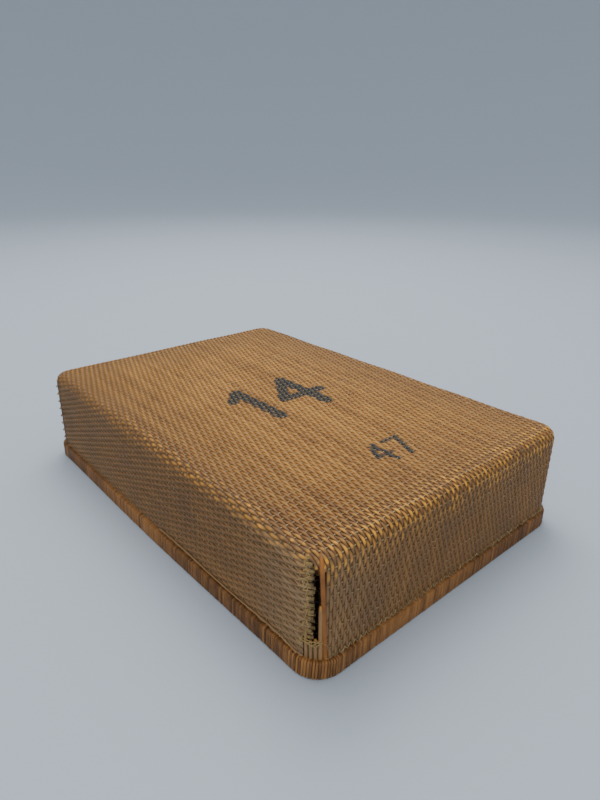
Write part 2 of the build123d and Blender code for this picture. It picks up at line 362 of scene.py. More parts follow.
def cordMaterial(name, look):
    # A slanting wave in Object coordinates stands for the twist of a CAD cord
    material, tree, shader = newMaterial(name)
    place = node(tree, "ShaderNodeTexCoord").outputs["Object"]
    ply = node(tree, "ShaderNodeTexWave", {
        "Vector": stretched(tree, place, (1, 1, 0.8)), "Scale": 420.0, "Distortion": 3.0, "Detail": 2.0},
        bands_direction="DIAGONAL").outputs[1]
    colour = mixColour(tree, ply, look["dark"], look["pale"])
    tree.links.new(colour, shader.inputs["Base Color"])
    shader.inputs["Roughness"].default_value = 0.9
    bump = node(tree, "ShaderNodeBump", {"Strength": 0.8, "Distance": 0.0003, "Height": ply})
    tree.links.new(bump.outputs[0], shader.inputs["Normal"])
    return material


look = finishes["willow"]
cleanLook = dict(look, deep=(0.07, 0.034, 0.011), middle=(0.28, 0.145, 0.045), light=(0.55, 0.33, 0.12),
                 dirtAndShade=(0.020, 0.012, 0.006), dust=(0.035, 0.024, 0.014))
willow = willowMaterial("agedWillow", look)
cleanWillow = willowMaterial("cleanWillow", cleanLook)
hempLook, caneLook, bambooLook, cutLook = (finishes[k] for k in ("hemp", "cane", "bamboo", "cut"))
hemp = fibreMaterial("hempThread", [(0.2, hempLook["dark"]), (0.75, hempLook["pale"])],
                     (900, 900, 900), 0.85, 0.0002, 0.35)
fray = fibreMaterial("frayedHemp", [(0.1, hempLook["dark"]), (0.6, hempLook["fray"])],
                     (300, 900, 900), 0.8, 0.0001, 0.35)
caneStops = [(0.2, caneLook["deep"]), (0.5, caneLook["middle"]), (0.9, caneLook["light"])]
cane = fibreMaterial("woundCane", caneStops, (50, 1800, 1800), 0.45, 0.0002, 0.55)
bamboo = fibreMaterial("splitBamboo", [(0.2, bambooLook["dark"]), (0.8, bambooLook["light"])],
                       (20, 900, 900), 0.5, 0.0002, 0.3)
cutWood = fibreMaterial("cutWood", [(0.2, cutLook["dark"]), (0.8, cutLook["light"])],
                        (500, 900, 900), 0.8, 0.0003, 0.35)
redRod = fibreMaterial("redRod", [(0.2, finishes["redRod"]["dark"]), (0.8, finishes["redRod"]["light"])],
                       (60, 1400, 1400), 0.42, 0.0002, 0.3)
lacingCord = cordMaterial("lacingCord", hempLook)
# A near-black cord, painted shade for the base's lacing behind the lid's torn corner
baseShadeCord = cordMaterial("baseShadeCord", {"dark": (0.010, 0.007, 0.004), "pale": (0.050, 0.034, 0.018)})

numbers = {
    "halfWidth": 0.085,             # of a stroke, as a share of the digit's height
    "edge": 2.0 * mm,               # over which a stroke's ink fades out
    "dryness": 0.35,                # how much of the ink the low parts of the rods miss
    # each digit with its centre and its height
    "digits": [("1", 0.0, -28.0 * mm, 75.0 * mm), ("4", 0.0, 22.0 * mm, 75.0 * mm),
               ("4", 150.0 * mm, -12.0 * mm, 30.0 * mm), ("7", 150.0 * mm, 12.0 * mm, 30.0 * mm)],
}


def digitStrokes(digit, centreX, centreY, size):
    # Straight strokes of a 1, 4 or 7 in a unit cell, turned so that up is towards the left end
    shapes = {
        "1": [(-0.22, 0.25, 0.0, 0.5), (0.0, 0.5, 0.0, -0.5)],
        "4": [(0.12, 0.5, -0.3, -0.12), (-0.3, -0.12, 0.34, -0.12), (0.12, 0.5, 0.12, -0.5)],
        "7": [(-0.3, 0.45, 0.3, 0.45), (0.3, 0.45, -0.08, -0.5)],
    }
    cells = np.array(shapes[digit]) * size
    starts = [centreX - cells[:, 1], centreY + cells[:, 0]]
    ends = [centreX - cells[:, 3], centreY + cells[:, 2]]
    return np.stack(starts + ends, 1)


def inkOn(place, drop, wave=1.0):
    # Ink is full inside each stroke's half width and falls to nothing over the soft edge. A dry brush
    # leaves the low parts of the rods bare.
    x, y = place[..., 0], place[..., 1]
    strength = np.zeros(x.shape)
    for digit, centreX, centreY, size in numbers["digits"]:
        for x0, y0, x1, y1 in digitStrokes(digit, centreX, centreY, size):
            t = ((x - x0) * (x1 - x0) + (y - y0) * (y1 - y0)) / ((x1 - x0) ** 2 + (y1 - y0) ** 2)
            t = np.clip(t, 0, 1)
            away = np.hypot(x - x0 - t * (x1 - x0), y - y0 - t * (y1 - y0))
            inside = numbers["halfWidth"] * size - away
            strength = np.maximum(strength, np.clip(inside / numbers["edge"] + 0.5, 0, 1))
    return strength * (1 - numbers["dryness"] * (1 - wave) / 2) * (drop < 3 * mm)


wear = {
    "stray": 0.10 * mm,             # how far a rod wanders sideways
    "sizeSpread": 0.035,
    "tint": 0.52,
    "tintSpread": 0.12,
    "endEdge": (6 * mm, 19 * mm, 17 * mm),    # polish and painted highlight on the end folds: inset, reach over the top, reach down
    "sideEdge": (5 * mm, 7 * mm, 10 * mm),    # the same on the side folds
    "tearDust": 58 * mm,            # reach of the dust round the torn corner
    "tearShade": 85 * mm,           # reach of the dark fold beside it
    "rimShade": 58 * mm,            # reach of the painted shade round the top's edge
    "baseTearShade": 20 * mm,               # reach of the painted shade on the base behind the tear
    "seamShade": 3.5 * mm,          # reach of the painted shade on the rod ends at a seam
    "leftShadeBand": (7 * mm, 4 * mm),   # the painted shade band at the front left corner: its start and its fade
}


def rodBundle(name, box, index, along, isLong, corners, material, grow=1.0):
    # Rods lie at equal pitch. Each swings in under a thread and out over the next, as a cosine. Wear,
    # dirt, painted highlights and painted shade fall off from edges, corners and the tear as
    # exp(-(distance over reach) squared).
    index = np.asarray(index)
    count = (len(index), 1)
    stray = chance.normal(0, wear["stray"], count) * np.sin(along * 40 + chance.uniform(0, 6, count))
    across = (index[:, None] + 0.5) * weave["rodPitch"] + stray
    place, normal, lean, drop = shell(box, across, along, isLong)
    run = unit(np.gradient(place, axis=1))
    side = unit(np.cross(normal, run))
    turn = np.where(index % 2 == 0, 1.0, -1.0)[:, None]
    wave = -turn * np.cos(math.pi * (along / weave["threadSpacing"] - 0.5))
    centre = place + normal * (weave["rise"] * wave - weave["sheet"] / 2)[..., None]
    size = chance.normal(1, wear["sizeSpread"], count) * grow
    isLid = box["name"] == "lid"
    tint = chance.normal(wear["tint"], wear["tintSpread"], count) + 0.12 * np.sin(along * 23 + index[:, None])
    low = np.clip(drop / box["height"], 0, 1)
    down = np.maximum(drop, 0)
    toEndWall = box["length"] / 2 - np.abs(place[..., 0])
    toSideWall = box["width"] / 2 - np.abs(place[..., 1])
    right = np.clip(place[..., 0] / box["length"] * 2, -1, 1)
    inset, reachIn, reachDown = wear["endEdge"]
    endEdge = np.exp(-(np.maximum(toEndWall - inset, 0) / reachIn) ** 2) * np.exp(-(down / reachDown) ** 2)
    endEdge = endEdge * (0.75 + 0.25 * right)
    inset, reachIn, reachDown = wear["sideEdge"]
    sideEdge = np.exp(-(np.maximum(toSideWall - inset, 0) / reachIn) ** 2) * np.exp(-(down / reachDown) ** 2)
    edge = np.maximum(endEdge, sideEdge * (0.62 + 0.35 * right))
    spread = np.clip(chance.normal(0.62, 0.50, wave.shape), 0, 1.5)
    nearTear = np.hypot(place[..., 0] - box["length"] / 2, place[..., 1] + box["width"] / 2)
    patchy = chance.uniform(0.35, 1.0, count) * (0.8 + 0.2 * np.sin(along * 160 + index[:, None]))
    dust = 0.80 * np.exp(-(nearTear / wear["tearDust"]) ** 2) * patchy * lean
    dust = (dust + 0.25 * np.clip(low * 1.6 - 0.9, 0, 1)) * isLid * (0.55 if isLong else 1.0)
    # Golden polish and painted highlight where the rods rise on the folds, stronger to the right
    polishAndHighlight = np.clip(0.25 + wave, 0, 1) ** 1.3 * edge * spread if isLid else np.zeros_like(wave)
    # Painted shade, strongest at the top's edges and on the walls
    shade = 0.80 * np.exp(-np.maximum(np.minimum(toEndWall, toSideWall), 0) / wear["rimShade"])
    # Dirt and painted shade: painted shade on the walls and round the top's edge, darker towards the bottom,
    # and darker where the rods dip on the folds
    dirtAndShade = np.clip(0.62 * lean + 0.2 * low + shade + 0.8 * (0.5 - wave / 2) * edge, 0, 1)
    if not isLid:                                          # painted shade on the base's walls, darkest behind the lid's torn corner
        dirtAndShade = np.maximum(0.15 * lean, 0.85 * np.clip(1.7 - nearTear / wear["baseTearShade"], 0, 1))
    tint = np.clip(tint - 0.45 * edge * (1 - wave) / 2 * isLid, 0, 1)
    toSeam = box["longRods"] * weave["rodPitch"] - np.abs(across) if isLong else box["seam"] - np.abs(along)
    # Painted shade: the rod ends at a seam go dark
    tint = tint - 0.9 * lean * np.exp(-np.maximum(toSeam, 0) / wear["seamShade"])
    if isLid:
        # dark between the polished rods on the fold near the torn corner, and painted shade in a band
        # beside the front left seam
        tint = tint - 0.5 * np.exp(-(nearTear / wear["tearShade"]) ** 2) * (1 - lean) * (0.72 - 0.28 * wave)
        start, fade = wear["leftShadeBand"]
        beside = np.clip((np.abs(along) - box["middleX"] + start) / fade, 0, 1)
        beside = beside * ((place[..., 0] < 0) & (place[..., 1] < 0)) * (not isLong)
        tint = tint - 0.75 * beside * lean
        dirtAndShade = dirtAndShade * (1 - 0.8 * beside)
    ink = inkOn(place, drop, wave) if isLid else np.zeros_like(wave)
    grain = np.stack([along, across, np.broadcast_to(index[:, None] * 0.37, along.shape)], -1)
    attributes = {"tint": np.broadcast_to(tint, wave.shape), "rise": (wave + 1) / 2, "polishAndHighlight": polishAndHighlight,
                  "dirtAndShade": dirtAndShade, "dust": dust, "ink": ink, "grain": grain}
    return tubes(name, centre, side, normal, weave["rodWidth"] / 2 * size * (1 + 0.09 * wave),
                 weave["rodThickness"] / 2 * size * (1 + 0.08 * wave), material, attributes, corners)


def threadBundle(name, box, index, number, limit, corners):
    # A thread keeps to one length along the rods. It is flat over each rod and steps between rods.
    index, number = np.asarray(index), np.asarray(number)
    pairs = np.repeat(index, 2)
    offset = np.tile([-0.24, 0.24], len(index)) * weave["rodPitch"]
    across = ((pairs + 0.5) * weave["rodPitch"] + offset)[None]
    across = np.broadcast_to(across, (len(number), len(pairs)))
    slip = 0.35 * mm * np.sin(across * 90 + number[:, None] * 2.1) + chance.normal(0, 0.12 * mm, across.shape)
    along = (number[:, None] + 0.5) * weave["threadSpacing"] + slip
    along = np.clip(along, -limit, limit)
    isLong = (pairs >= -box["longRods"]) & (pairs < box["longRods"])
    place, normal, lean, drop = shell(box, across, along, isLong[None])
    run = unit(np.gradient(place, axis=1))
    side = unit(np.cross(normal, run))
    turn = np.where((pairs[None] + number[:, None]) % 2 == 0, 1.0, -1.0)
    lift = weave["rodThickness"] / 2 - weave["rise"] + weave["threadRadius"] * 0.9
    centre = place + normal * (turn * lift - weave["sheet"] / 2)[..., None]
    radius = np.full(turn.shape, weave["threadRadius"]) * chance.normal(1, 0.08, (len(number), 1))
    # Painted shade: the threads are darker on the walls than on the top
    tint = np.clip(0.62 - 0.56 * lean + chance.normal(0, 0.2, turn.shape), 0, 1)
    # Painted shade: the base's threads go dark behind the lid's torn corner
    if box["name"] == "base":
        corner = np.hypot(place[..., 0] - box["length"] / 2, place[..., 1] + box["width"] / 2)
        tint = tint - np.clip(1.9 - corner / (22 * mm), 0, 1)
    grain = np.stack([across, along, np.zeros(along.shape)], -1)
    values = {"tint": tint, "grain": grain}
    return tubes(name, centre, side, normal, radius * 1.15, radius, hemp, values, corners)


def alongRange(start, end, count):
    return start[:, None] + (end - start)[:, None] * np.linspace(0, 1, count)[None]


def weaveTray(box, corners, perThread, material, panels):
    count, total, name = box["longRods"], box["allRods"], box["name"]
    isLid = name == "lid"
    pieces = []
    step = weave["threadSpacing"] / perThread
    for half, index in (("front", np.arange(-count, 0)), ("back", np.arange(0, count))):
        start, end = np.full(count, -box["foot"]), np.full(count, box["foot"])
        if isLid and half == "front":                      # snapped where they turn down at the torn corner
            angle = (np.abs(index + 0.5) * weave["rodPitch"] - box["middleY"]) / box["corner"]
            snapped = angle > math.radians(tear["angle"]) - 0.02
            turned = box["middleX"] + (box["corner"] - box["fold"]) + box["fold"] * math.pi / 2
            end = np.where(snapped, turned + chance.uniform(-1.0 * mm, 3.0 * mm, count), end)
        along = alongRange(start, end, int(2 * box["foot"] / step))
        pieces.append(rodBundle(f"{name}_long_rods_{half}", box, index, along, True, corners, material))
    sides = total - count
    for half, index in (("front", np.arange(-total, -count)), ("back", np.arange(count, total))):
        loose = chance.uniform(-0.7 * mm, 0.5 * mm, (2, sides))
        start, end = loose[0] - box["seam"], loose[1] + box["seam"]
        if isLid and half == "front":
            depth = np.abs(index + 0.5) * weave["rodPitch"] - box["width"] / 2 + box["fold"]
            height = box["height"] - box["fold"] - (depth - box["fold"] * math.pi / 2)
            turned = box["middleX"] + box["corner"] * math.radians(90 - tear["notchAngle"])
            end = np.where(height < tear["notchHeight"], turned, end + chance.uniform(-1.2, 1.8, sides) * mm)
            tearEnds.extend(end[height > tear["notchHeight"]])
            end = np.where(height > tear["notchHeight"], end - tear["cutLength"], end)
        along = alongRange(start, end, int(2 * box["seam"] / step))
        pieces.append(rodBundle(f"{name}_side_rods_{half}", box, index, along, False, corners, material))
    spacing = weave["threadSpacing"]
    crossing = np.arange(-int(box["seam"] / spacing), int(box["seam"] / spacing))
    first, last = int(box["seam"] / spacing), int(box["foot"] / spacing)
    for half, number in (("left", crossing[crossing < 0]), ("right", crossing[crossing >= 0])):
        index = np.arange(-total, total)
        pieces.append(threadBundle(f"{name}_threads_{half}", box, index, number, box["seam"], corners - 1))
    for half, number in (("left", np.arange(-last, -first)), ("right", np.arange(first, last))):
        index = np.arange(-count, count)
        if isLid and half == "right":
            whole = (box["middleY"] + box["corner"] * math.radians(tear["angle"])) / weave["rodPitch"]
            index = np.arange(-int(whole), count)
        label = f"{name}_end_threads_{half}"
        pieces.append(threadBundle(label, box, index, number, box["foot"], corners - 1))
    for piece in pieces:
        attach(piece, name)
        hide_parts(*panels)
    return pieces


tearEnds = []
weaveTray(lid, 6, 3, willow, ["lid_top_and_ends", "lid_front_side", "lid_back_side"])
weaveTray(base, 5, 2, cleanWillow, ["base_floor_and_ends", "base_front_side", "base_back_side"])
print("woven sheets done")

rimLook = {"turnPitch": 1.9 * mm, "turnWidth": 1.95 * mm, "turnThickness": 0.75 * mm, "slant": 0.7 * mm,
           "footGap": 0.15 * mm, "stripThickness": 2.0 * mm, "stripHeight": 14.0 * mm}


def outline(box, length):
    # A rounded rectangle by length along it: place, outward direction, and running direction
    r, mx, my = box["corner"], box["middleX"], box["middleY"]
    arc = r * math.pi / 2
    starts = np.array([0, 2 * my, 2 * my + arc, 2 * my + arc + 2 * mx, 2 * my + 2 * arc + 2 * mx,
                       4 * my + 2 * arc + 2 * mx, 4 * my + 3 * arc + 2 * mx, 4 * my + 3 * arc + 4 * mx])
    whole = 4 * my + 4 * mx + 4 * arc
    length = np.mod(length, whole)
    part = np.searchsorted(starts, length, side="right") - 1
    past = length - starts[part]
    corner = part // 2
    isArc = part % 2 == 1
    facing = corner * math.pi / 2 + np.where(isArc, past / r, 0)
    centreX = np.where(isArc, np.array([mx, -mx, -mx, mx])[corner], 0)
    centreY = np.where(isArc, np.array([my, my, -my, -my])[corner], 0)
    out = np.stack([np.cos(facing), np.sin(facing)], -1)
    run = np.stack([-np.sin(facing), np.cos(facing)], -1)
    flat = np.array([my, mx, my, mx])[corner]
    halfSpan = np.array([box["length"] / 2, box["width"] / 2, box["length"] / 2, box["width"] / 2])[corner]
    straight = out * halfSpan[..., None] + run * (past - flat)[..., None]
    turned = np.stack([centreX, centreY], -1) + out * r
    return np.where(isArc[..., None], turned, straight), out, run, whole


def rimPlace(box, length, outwards, height):
    # A point at a length round the tray, a distance out from the wall and a height above the open edge
    plan, out, run, _ = outline(box, length)
    z = box["openZ"] - box["way"] * height
    place = np.concatenate([plan + out * outwards[..., None], z[..., None]], -1)
    drop = np.abs(z - box["closedZ"])
    return bowOut(box, place, np.ones(drop.shape), drop), out, run


def woundRim(box):
    # Each turn of cane is a closed belt round both strips: a rounded rectangle in section
    whole = outline(box, np.zeros(1))[3]
    count = int(whole / rimLook["turnPitch"])
    high = box["rimHeight"] - rimLook["turnThickness"] - rimLook["footGap"]
    wide = weave["sheet"] + 2 * box["rimDepth"] - rimLook["turnThickness"]
    r = 1.3 * mm
    angle = np.radians([-80, -45, -10, 10, 45, 80, 100, 135, 170, 190, 225, 260])
    out = np.sign(np.cos(angle)) * (wide / 2 - r) + r * np.cos(angle)
    up = np.sign(np.sin(angle)) * (high / 2 - r) + r * np.sin(angle)
    start = np.arange(count)[:, None] * whole / count + chance.normal(0, 0.08 * mm, (count, 1))
    length = start + rimLook["slant"] * (up / high)[None] * np.sign(out)[None]
    middle = box["rimDepth"] - (wide + rimLook["turnThickness"]) / 2
    puff = chance.normal(0, 0.10 * mm, (count, 1))
    outwards = np.broadcast_to(middle + out[None] + puff * np.cos(angle)[None], length.shape)
    height = np.broadcast_to(box["rimHeight"] / 2 + up[None], length.shape)
    place, outDir, run = rimPlace(box, length, outwards, height)
    upPart = np.broadcast_to((-box["way"] * np.sin(angle))[None, :, None], (count, 12, 1))
    around = np.concatenate([outDir * np.cos(angle)[None, :, None], upPart], -1)
    side = np.concatenate([run, np.zeros((count, 12, 1))], -1)
    width = rimLook["turnWidth"] / 2 * chance.normal(1, 0.07, (count, 1)) * np.ones((1, 12))
    thick = np.full((count, 12), rimLook["turnThickness"] / 2)
    tint = np.clip(chance.normal(0.45, 0.2, (count, 1)) + 0.25 * np.sin(start * 22), 0, 1) * np.ones((1, 12))
    grain = np.stack([np.cumsum(np.full((count, 12), 3 * mm), 1), length, np.zeros(length.shape)], -1)
    name = box["name"]
    values = {"tint": tint, "grain": grain}
    piece = tubes(f"{name}_wound_rim", place, side, around, width, thick, cane, values, 6, closed=True)
    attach(piece, name)
    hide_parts(f"{name}_rim_binding")


def rimStrip(box, which, outwards):
    # A flat bamboo strip bent round the tray's open edge, under the cane
    whole = outline(box, np.zeros(1))[3]
    count = 420
    length = (np.arange(count) / count * whole)[None]
    middle = np.full((1, count), outwards)
    place, outDir, run = rimPlace(box, length, middle, np.full((1, count), box["rimHeight"] / 2))
    side = np.concatenate([outDir, np.zeros((1, count, 1))], -1)
    up = np.broadcast_to(np.array([0.0, 0.0, 1.0]), (1, count, 3))
    grain = np.stack([length, np.zeros((1, count)), np.zeros((1, count))], -1)
    tint = 0.5 + 0.2 * np.sin(length * 30)
    name = box["name"]
    thick = np.full((1, count), rimLook["stripThickness"] / 1.6)
    tall = np.full((1, count), rimLook["stripHeight"] / 1.9)
    values = {"tint": tint, "grain": grain}
    piece = tubes(f"{name}_{which}_strip", place, side, up, thick, tall, bamboo, values, 8, closed=True)
    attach(piece, name)
    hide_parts(f"{name}_rim_{which}_strip")


for box in (lid, base):
    woundRim(box)
    rimStrip(box, "outer", rimLook["stripThickness"] / 2)
    rimStrip(box, "inner", -weave["sheet"] - rimLook["stripThickness"] / 2)
print("rims done")

for name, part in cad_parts.items():
    if "lacing" in name or "base_hem_thread" in name:
        part.data.materials.clear()
        part.data.materials.append(baseShadeCord if name == "base_lacing_front_right" else lacingCord)

cornerX = lid["middleX"]
cornerY = -lid["middleY"]


def cornerPlace(radius, angle, z):
    # A point round the front right corner by its angle from the X axis
    turn = np.radians(angle)
    x = cornerX + radius * np.cos(turn)
    y = cornerY - radius * np.sin(turn)
    return np.stack(np.broadcast_arrays(x, y, z), -1)


def fibres(name, root, heading, length, radius, material, curl, tint, points=7):
    # Each fibre leaves its root along its heading and curls as a random slow wave, and it tapers
    n = len(root)
    share = np.linspace(0, 1, points)[None]
    heading = unit(heading)
    other = unit(np.cross(heading, unit(chance.normal(0, 1, (n, 3)))))
    third = np.cross(heading, other)
    phase = chance.uniform(0, 6.3, (n, 1))
    sway = curl[:, None] * length[:, None] * share * np.sin(share * chance.uniform(2, 7, (n, 1)) + phase)
    lift = curl[:, None] * length[:, None] * share * np.cos(share * chance.uniform(2, 7, (n, 1)) + phase)
    place = root[:, None] + heading[:, None] * (length[:, None] * share)[..., None]
    place = place + other[:, None] * sway[..., None] + third[:, None] * lift[..., None]
    run = unit(np.gradient(place, axis=1))
    side = unit(np.cross(run, np.broadcast_to(other[:, None], run.shape) + 0.01))
    up = np.cross(side, run)
    half = radius[:, None] * (1 - 0.6 * share)
    grain = np.stack([share * length[:, None], phase * mm * np.ones(share.shape), 0 * half], -1)
    values = {"tint": np.broadcast_to(tint[:, None], half.shape), "grain": grain}
    piece = tubes(name, place, side, up, half, half, material, values, 4)
    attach(piece, "lid")
    return piece


def stubs():
    # The snapped rods stand in the rim, and their broken tops taper a little
    middle = lid["corner"] - weave["sheet"] / 2
    step = math.degrees(tear["stubPitch"] / middle)
    count = int((tear["notchAngle"] - tear["angle"]) / step)
    number = np.arange(count)
    angle = tear["angle"] + step * (number + 0.6)
    top = np.array([tear["stubTops"][i % len(tear["stubTops"])] * mm for i in number])
    top[0] = tear["tallStub"]
    share = np.concatenate([np.linspace(0, 0.93, 12), [0.96, 0.985, 1.0]])[None]
    z = tear["stubFoot"] + (top[:, None] - tear["stubFoot"]) * share
    leanOut = tear["stubLean"] * share**2 * chance.uniform(-0.2, 1.0, (count, 1))
    place = cornerPlace(middle + leanOut, angle[:, None] + 1.5 * share, z)
    out = cornerPlace(1.0, angle[:, None] + 0 * share, z) - cornerPlace(0.0, angle[:, None] + 0 * share, z)
    side = unit(np.cross(out, np.array([0.0, 0.0, 1.0])))
    end = np.clip((share - 0.93) / 0.07, 0, 1)
    thick = np.where(number == 0, tear["tallStubRadius"], tear["stubRadius"])[:, None]
    half = thick * (1 - 0.35 * end**2) * (1 + 0.04 * np.sin(z * 400))
    grain = np.stack([z, np.broadcast_to(angle[:, None] * mm, z.shape), z * 0], -1)
    bright = np.where(number == 0, 0.4, 0.3)[:, None] * np.ones(z.shape)
    dirty = np.where(number == 0, 0.55, 0.85)[:, None] * np.ones(z.shape)
    flat = np.ones(z.shape)
    attributes = {"tint": bright, "rise": 0.4 + 0.5 * end * flat, "polishAndHighlight": 0.2 * end * flat,
                  "dirtAndShade": dirty * (1 - end), "dust": 0.32 * (1 - end), "ink": z * 0, "grain": grain}
    piece = tubes("lid_broken_stubs", place, side, out, half, half * 0.9, willow, attributes, 10)
    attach(piece, "lid")
    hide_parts("lid_broken_rods")


edgeRodLook = {
    "turn": (9.0, 15.0),            # degrees past the tear at its top, and how far it swings back going down
    "radius": 1.75 * mm,
    "depth": 1.1 * mm,              # of its middle below the sheet's outside
    "dive": 4 * mm,                 # how far its upper end goes in under the fold
}


def edgeRod():
    # The first whole rod beside the tear is a thick reddish one that leans away from the tear going
    # down. Its height is the fold's quarter circle at first, then falls evenly to the floor.
    share = np.linspace(0, 1, 26)[None]
    ahead, swing = edgeRodLook["turn"]
    angle = tear["angle"] + ahead - swing * share
    turn = np.clip(0.9 - share * 7.5, 0, 0.9)
    f = lid["fold"]
    straight = (lid["height"] - f) * (1 - (share - 0.12) / 0.88)
    z = np.where(turn > 0, lid["height"] - f + f * np.sin(turn), straight)
    reach = np.where(turn > 0, lid["corner"] - f + f * np.cos(turn), lid["corner"]) - edgeRodLook["depth"]
    reach = reach - edgeRodLook["dive"] * np.clip(1 - share / 0.1, 0, 1) ** 2
    place = cornerPlace(reach, angle, np.maximum(z, 0.8 * mm))
    run = unit(np.gradient(place, axis=1))
    out = cornerPlace(1.0, angle, 0.0) - cornerPlace(0.0, angle, 0.0)
    side = unit(np.cross(run, out))
    up = np.cross(side, run)
    half = np.full(share.shape, edgeRodLook["radius"])
    grain = np.stack([z, 0 * z + 0.011, z * 0], -1)
    values = {"tint": 0.5 + 0.9 * (turn > 0) * np.ones(z.shape), "grain": grain}
    piece = tubes("lid_edge_rod", place, side, up, half, half * 0.9, redRod, values, 10)
    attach(piece, "lid")


cutEndLook = {
    "past": 0.6 * mm,               # how far the pale ends run past the cut, and start before it
    "thickness": 0.90,              # against a whole rod
    "loopBack": 4.2 * mm,           # how far behind the cut the thread's loops lie
    "loopOut": 1.5 * mm,
    "loopDown": 1.6 * mm,
    "loopSlant": 0.8 * mm,
    "loopRadius": 0.30 * mm,
    "threads": 46,                  # torn ends of thread among them
}


def cutEnds():
    # Pale ends of the front side's rods along the tear, with what is left of the thread round them.
    # Each loop of thread is an ellipse round its rod, out by cosine and down by sine, that slants.
    total, count = lid["allRods"], lid["longRods"]
    index = np.arange(-total, -count)
    depth = np.abs(index + 0.5) * weave["rodPitch"] - lid["width"] / 2 + lid["fold"]
    height = lid["height"] - lid["fold"] - (depth - lid["fold"] * math.pi / 2)
    index = index[height > tear["notchHeight"]]
    end = np.array(tearEnds)
    past = cutEndLook["past"]
    along = alongRange(end - tear["cutLength"] - past, end + past, 6)
    piece = rodBundle("lid_cut_ends", lid, index, along, False, 8, cutWood, cutEndLook["thickness"])
    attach(piece, "lid")
    across = (index + 0.5) * weave["rodPitch"]
    place, normal, _, _ = shell(lid, across, end - cutEndLook["loopBack"], False)
    n = len(index)
    turn = np.linspace(0, 2 * math.pi, 13)[None, :-1]
    downwards = np.array([0.0, 0.0, -1.0])
    centre = place - normal * weave["sheet"] / 2
    fall = np.sin(turn) * cutEndLook["loopDown"] * chance.uniform(0.9, 1.5, (n, 1))
    loop = centre[:, None] + normal[:, None] * (np.cos(turn) * cutEndLook["loopOut"])[..., None]
    loop = loop + downwards * fall[..., None]
    run = unit(np.roll(loop, -1, 1) - np.roll(loop, 1, 1))
    side = unit(np.cross(run, unit(np.cross(run, normal[:, None] + 1e-3))))
    slant = np.sin(turn + chance.uniform(0, 6, (n, 1))) * cutEndLook["loopSlant"]
    loop = loop + np.cross(normal, downwards)[:, None] * slant[..., None]
    half = np.full((n, 12), cutEndLook["loopRadius"])
    values = {"tint": np.clip(chance.normal(0.6, 0.25, (n, 1)), 0, 1) * np.ones((1, 12)),
              "grain": np.stack([half * 0 + turn * 2 * mm, half * 0, half * 0], -1)}
    up = np.cross(side, run)
    piece = tubes("lid_thread_loops", loop, side, up, half, half, fray, values, 5, closed=True)
    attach(piece, "lid")
    threads = cutEndLook["threads"]
    pick = chance.integers(0, n, threads)
    root = place[pick] + chance.normal(0, 0.6 * mm, (threads, 3))
    heading = normal[pick] * 0.7 + chance.normal(0, 0.8, (threads, 3)) + downwards * 0.2
    length = chance.uniform(2, 8, threads) * mm
    radius = chance.uniform(0.12, 0.36, threads) * mm
    curl, tint = chance.uniform(0.2, 0.7, threads), chance.uniform(0.3, 1, threads)
    fibres("lid_torn_threads", root, heading, length, radius, fray, curl, tint, 11)


bandLook = {
    "strands": 4,
    "height": 30.5 * mm,            # of the lowest strand
    "spacing": 0.8 * mm,
    "sway": 1.3 * mm,
    "sag": 1.5 * mm,
    "out": 0.35 * mm,
    "radius": 0.36 * mm,
    "fibres": 40,
}


def frayedBand():
    # Strands of thread lie slack across the short stubs' tops and fray at both ends. Each sways as a
    # sine along its length and sags as a parabola.
    strands, points = bandLook["strands"], 22
    share = np.linspace(0, 1, points)[None]
    angle = tear["notchAngle"] + 6 - (tear["notchAngle"] - tear["angle"] + 2) * share
    number = np.arange(strands)[:, None]
    z = bandLook["height"] + number * bandLook["spacing"]
    z = z + bandLook["sway"] * np.sin(share * 7 + number * 1.7) - bandLook["sag"] * share * (1 - share) * 4
    reach = lid["corner"] + bandLook["out"] + 0.5 * mm * np.sin(share * 11 + number)
    place = cornerPlace(reach, angle + 0 * number, z)
    run = unit(np.gradient(place, axis=1))
    up = np.broadcast_to(np.array([0.0, 0.0, 1.0]), run.shape)
    side = unit(np.cross(run, up))
    half = np.broadcast_to(bandLook["radius"] * (1 - 0.3 * share), z.shape)
    grain = np.stack([share * 12 * mm + 0 * z, 0 * z, 0 * z], -1)
    values = {"tint": np.broadcast_to(0.5 + 0.15 * number, z.shape), "grain": grain}
    piece = tubes("lid_frayed_band", place, side, np.cross(side, run), half, half, fray, values, 5)
    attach(piece, "lid")
    n = bandLook["fibres"]
    root = place[chance.integers(0, strands, n), chance.integers(0, points, n)]
    heading = unit(root - np.array([cornerX, cornerY, 30 * mm])) + chance.normal(0, 0.7, (n, 3))
    length, radius = chance.uniform(2, 6, n) * mm, chance.uniform(0.07, 0.16, n) * mm
    curl, tint = chance.uniform(0.1, 0.5, n), chance.uniform(0.3, 1, n)
    fibres("lid_frayed_ends", root, heading, length, radius, fray, curl, tint)


looseLook = {
    "start": 20 * mm,               # from the middle of the front
    "stop": 3 * mm,                 # past the start of the right corner
    "height": 18.6 * mm,
    "sway": 0.8 * mm,
    "out": 0.5 * mm,
    "lift": 1.5 * mm,               # how far its free end sticks out
    "radius": 0.55 * mm,
}


